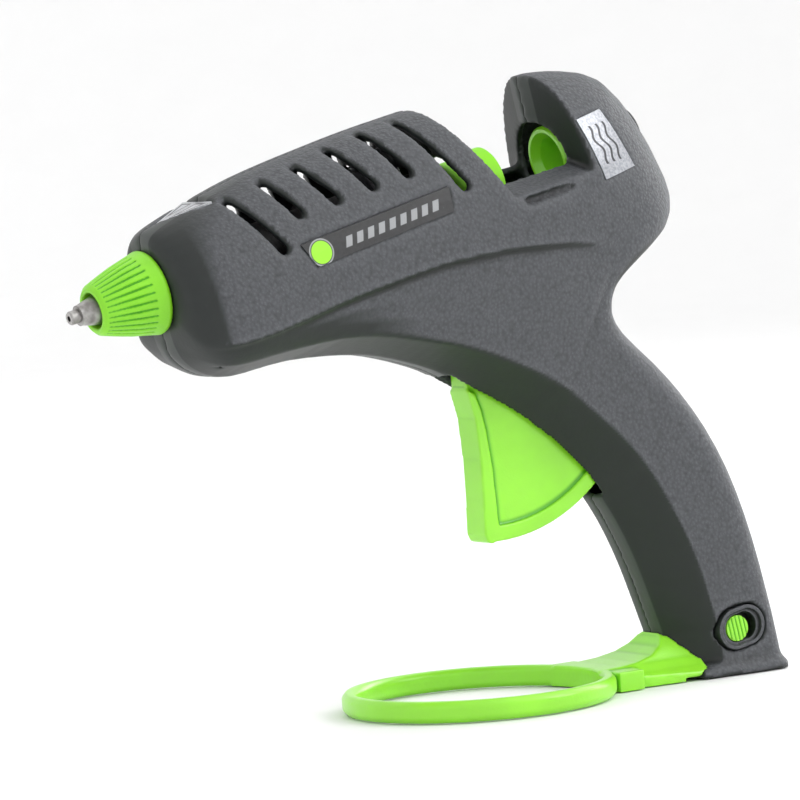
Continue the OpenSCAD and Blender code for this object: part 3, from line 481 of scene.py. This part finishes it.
def markGrainAndShade(piece):  # 1 on the grained faces, 0 on those that look down or forward, which are smooth and painted darker as shade
    mark = piece.data.attributes.new("grain", "FLOAT", "POINT")
    values = []
    for vertex in piece.data.vertices:
        face = max(-vertex.normal.z, -vertex.normal.x)
        values.append(min(1.0, max(0.0, (grainShadeLimits["plainShadedFrom"] - face) / grainShadeLimits["fade"])))
    mark.data.foreach_set("value", values)


# node: piece name, finish, body, voxel size, rounds of softening
moulded = {
    "left_shell": ("casingLeft", "casing", "gun", 0.0008, 4),
    "right_shell": ("casingRight", "casing", "gun", 0.0008, 4),
    "nozzle_cover": ("nozzleJacket", "silicone", "gun", 0.00025, 3),
    "trigger": ("triggerLever", "lime", "trigger_lever", 0.0004, 4),
    "stand_ring": ("standRing", "lime", "stand", 0.00045, 4),
    "switch_knob": ("switchSlider", "lime", "knob", 0.00015, 3),
    "switch_bezel": ("switchFrame", "casing", "gun", 0.0002, 3),
}
for node, (name, finish, body, voxel, rounds) in moulded.items():
    piece = mouldedCopy(node, name, finish, body, voxel, rounds)
    if finish == "casing":
        markGrainAndShade(piece)

# ---- floor and light ----
floorLook = {"radius": 2.6, "height": 2.2, "curve": 0.8, "colour": (0.86, 0.86, 0.86)}


def makeFloor():
    deselectAll()
    bpy.ops.mesh.primitive_circle_add(vertices=96, radius=floorLook["radius"],
                                      fill_type="NGON", location=(0, 0, -0.0003))
    floor = bpy.context.object
    floor.name = "floor"
    bpy.ops.object.mode_set(mode="EDIT")
    bpy.ops.mesh.select_mode(type="EDGE")
    bpy.ops.mesh.select_all(action="SELECT")
    bpy.ops.mesh.region_to_loop()
    bpy.ops.mesh.extrude_region_move(
        TRANSFORM_OT_translate={"value": (0, 0, floorLook["height"])})
    bpy.ops.object.mode_set(mode="OBJECT")
    foot = [edge.index for edge in floor.data.edges
            if all(abs(floor.data.vertices[v].co.z) < 0.001 for v in edge.vertices)]
    for edge in floor.data.edges:
        edge.select = edge.index in foot
    bpy.ops.object.mode_set(mode="EDIT")
    bpy.ops.mesh.bevel(offset=floorLook["curve"], segments=16, profile=0.5, affect="EDGES")
    bpy.ops.object.mode_set(mode="OBJECT")
    bpy.ops.object.shade_smooth()
    bpy.ops.object.transform_apply(location=True, rotation=True, scale=True)
    paint = Paint("floorPaper", Roughness=0.75)
    fleck = paint.noise(30, 3)
    paint.set(Base_Color=paint.blend(fleck, floorLook["colour"], (0.88, 0.88, 0.88)))
    floor.data.materials.append(paint.material)


def addLight(name, spot, size, power, colour=(1, 1, 1)):
    spot, aim = Vector(spot), Vector((0, 0, 0.09))
    turn = (spot - aim).to_track_quat("Z", "Y").to_euler()
    bpy.ops.object.light_add(type="AREA", location=spot, rotation=turn)
    lamp = bpy.context.object
    lamp.name = name
    lamp.data.shape, lamp.data.size, lamp.data.size_y = "RECTANGLE", *size
    lamp.data.energy, lamp.data.color = power, colour


roomLook = {"left": -0.7, "right": 0.35, "dim": 0.3, "bright": 0.95}


def lightRoom():  # soft light from all round, brighter on the right
    world = bpy.data.worlds.new("studio")
    bpy.context.scene.world = world
    world.use_nodes = True
    sky = world.node_tree
    ways = sky.nodes.new("ShaderNodeTexCoord")
    split = sky.nodes.new("ShaderNodeSeparateXYZ")
    ramp = sky.nodes.new("ShaderNodeMapRange")
    ramp.interpolation_type = "SMOOTHSTEP"
    for socket, value in zip(ramp.inputs[1:5], roomLook.values()):
        socket.default_value = value
    sky.links.new(ways.outputs["Generated"], split.inputs[0])
    sky.links.new(split.outputs["X"], ramp.inputs[0])
    sky.links.new(ramp.outputs[0], sky.nodes["Background"].inputs["Strength"])
    sky.nodes["Background"].inputs["Color"].default_value = (1, 1, 1, 1)


makeFloor()
addLight("keySoftbox", (1.0, -0.9, 0.9), (0.7, 0.9), 9)
addLight("ceilingPanel", (0, 0, 3), (12, 12), 270)
addLight("backStrip", (1.2, 0.25, 0.5), (0.35, 1.0), 7)
lightRoom()
bpy.context.scene.view_settings.view_transform = "Standard"
print("floor and lights placed")
